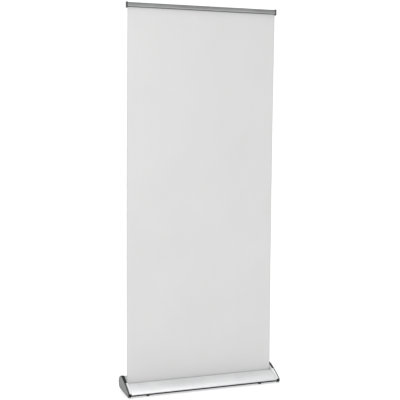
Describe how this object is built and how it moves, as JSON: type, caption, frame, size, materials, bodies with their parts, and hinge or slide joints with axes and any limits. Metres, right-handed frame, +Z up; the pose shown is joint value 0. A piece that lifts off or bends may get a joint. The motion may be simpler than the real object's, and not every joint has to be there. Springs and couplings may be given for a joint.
{
  "type": "roll-up banner stand",
  "caption": "Free-standing retractable banner stand: blank sheet pulled from a teardrop cassette base by a telescopic pole and held in a snap rail.",
  "frame": {"origin": "on the floor under the middle of the stand: centre of the bounding box in X and Y, bottom of the feet in Z", "axes": "+Z up, +X along the base to the right seen from the front, -Y out of the front of the banner"},
  "size_m": [0.891, 0.184, 2.0845],
  "materials": {
    "anodised_aluminium": "satin silver anodised extrusion",
    "cover_aluminium": "fine satin light silver anodised cover",
    "plate_plastic": "moulded end plate with a satin silver-grey metallic finish",
    "gloss_trim": "black gloss edge trim",
    "cap_plastic": "dark grey moulded cap",
    "black_plastic": "black moulded nylon",
    "rubber": "dark moulded rubber",
    "steel": "zinc plated steel",
    "brush_pile": "grey pile weather strip",
    "banner_film": "plain off-white matt film"
  },
  "bodies": {
    "base": {"base_housing": "anodised_aluminium", "front_cover": "cover_aluminium", "front_edge_strip": "rubber", "slot_brush_front": "brush_pile", "slot_brush_rear": "brush_pile", "end_plate_left": "plate_plastic", "end_plate_right": "plate_plastic", "end_trim_left": "gloss_trim", "end_trim_right": "gloss_trim", "axle_bracket_left": "black_plastic", "axle_bracket_right": "black_plastic", "leader_web": "banner_film", "spring_shaft": "steel", "spring_hub": "black_plastic", "torsion_spring": "steel", "guide_rod": "steel", "pole_socket": "black_plastic", "pole_foot_plug": "black_plastic", "pole_lower_tube": "anodised_aluminium", "banner_sheet": "banner_film", "rear_foot_left": "rubber", "front_foot_insert_left": "black_plastic", "socket_screw_left": "steel", "bracket_screw_left_front": "steel", "bracket_screw_left_rear": "steel", "rear_foot_right": "rubber", "front_foot_insert_right": "black_plastic", "socket_screw_right": "steel", "bracket_screw_right_front": "steel", "bracket_screw_right_rear": "steel"},
    "pole_middle": {"pole_middle_tube": "anodised_aluminium", "pole_middle_plug": "black_plastic"},
    "pole_upper": {"pole_upper_tube": "anodised_aluminium", "pole_upper_plug": "black_plastic", "pole_head": "black_plastic"},
    "rail": {"rail_back": "anodised_aluminium", "rail_cap_left": "cap_plastic", "rail_cap_right": "cap_plastic", "rail_hook": "black_plastic", "hook_screw_left": "steel", "hook_screw_right": "steel"},
    "rail_jaw": {"rail_jaw": "anodised_aluminium", "jaw_grip_strip": "rubber"},
    "roller": {"roller_tube": "anodised_aluminium", "wound_leader": "banner_film", "roller_plug_left": "black_plastic", "roller_plug_right": "black_plastic"},
    "lock_lower": {"lock_collar_lower": "black_plastic"},
    "lock_upper": {"lock_collar_upper": "black_plastic"},
    "foot_left": {"front_foot_pad_left": "rubber"},
    "foot_right": {"front_foot_pad_right": "rubber"},
    "stud_left": {"front_foot_stud_left": "steel"},
    "stud_right": {"front_foot_stud_right": "steel"}
  },
  "joints": [
    {"name": "pole_middle_slide", "type": "slide", "parent": "base", "child": "pole_middle", "axis": [0, 0, 1], "range_m": [-0.6, 0], "deforming": ["banner_sheet"]},
    {"name": "pole_upper_slide", "type": "slide", "parent": "pole_middle", "child": "pole_upper", "axis": [0, 0, 1], "range_m": [-0.6, 0]},
    {"name": "rail_lift", "type": "slide", "parent": "pole_upper", "child": "rail", "axis": [0, 0, 1], "range_m": [0, 0.014]},
    {"name": "rail_jaw_snap", "type": "hinge", "parent": "rail", "child": "rail_jaw", "pos_m": [0, -0.0005, 2.0766], "axis": [-1, 0, 0], "range_deg": [0, 35]},
    {"name": "roller_spin", "type": "hinge", "parent": "base", "child": "roller", "pos_m": [0, 0.032, 0.046], "axis": [1, 0, 0], "range_deg": [0, 4000], "deforming": ["torsion_spring"]},
    {"name": "lock_lower_twist", "type": "hinge", "parent": "base", "child": "lock_lower", "pos_m": [0, 0.04, 0.764], "axis": [0, 0, 1], "range_deg": [0, 90]},
    {"name": "lock_upper_twist", "type": "hinge", "parent": "pole_middle", "child": "lock_upper", "pos_m": [0, 0.04, 1.414], "axis": [0, 0, 1], "range_deg": [0, 90]},
    {"name": "foot_left_height", "type": "slide", "parent": "base", "child": "foot_left", "axis": [0, 0, 1], "range_m": [-0.005, 0.002]},
    {"name": "foot_left_screw", "type": "hinge", "parent": "foot_left", "child": "stud_left", "pos_m": [-0.33, -0.066, 0.012], "axis": [0, 0, 1], "range_deg": [-1800, 720]},
    {"name": "foot_right_height", "type": "slide", "parent": "base", "child": "foot_right", "axis": [0, 0, 1], "range_m": [-0.005, 0.002]},
    {"name": "foot_right_screw", "type": "hinge", "parent": "foot_right", "child": "stud_right", "pos_m": [0.33, -0.066, 0.012], "axis": [0, 0, 1], "range_deg": [-1800, 720]}
  ],
  "couplings": [
    {"joint": "pole_upper_slide", "follows": "pole_middle_slide", "ratio": 1},
    {"joint": "roller_spin", "follows": "pole_middle_slide", "rad_per_m": -114.29},
    {"joint": "foot_left_screw", "follows": "foot_left_height", "rad_per_m": 6283.2},
    {"joint": "foot_right_screw", "follows": "foot_right_height", "rad_per_m": 6283.2}
  ]
}
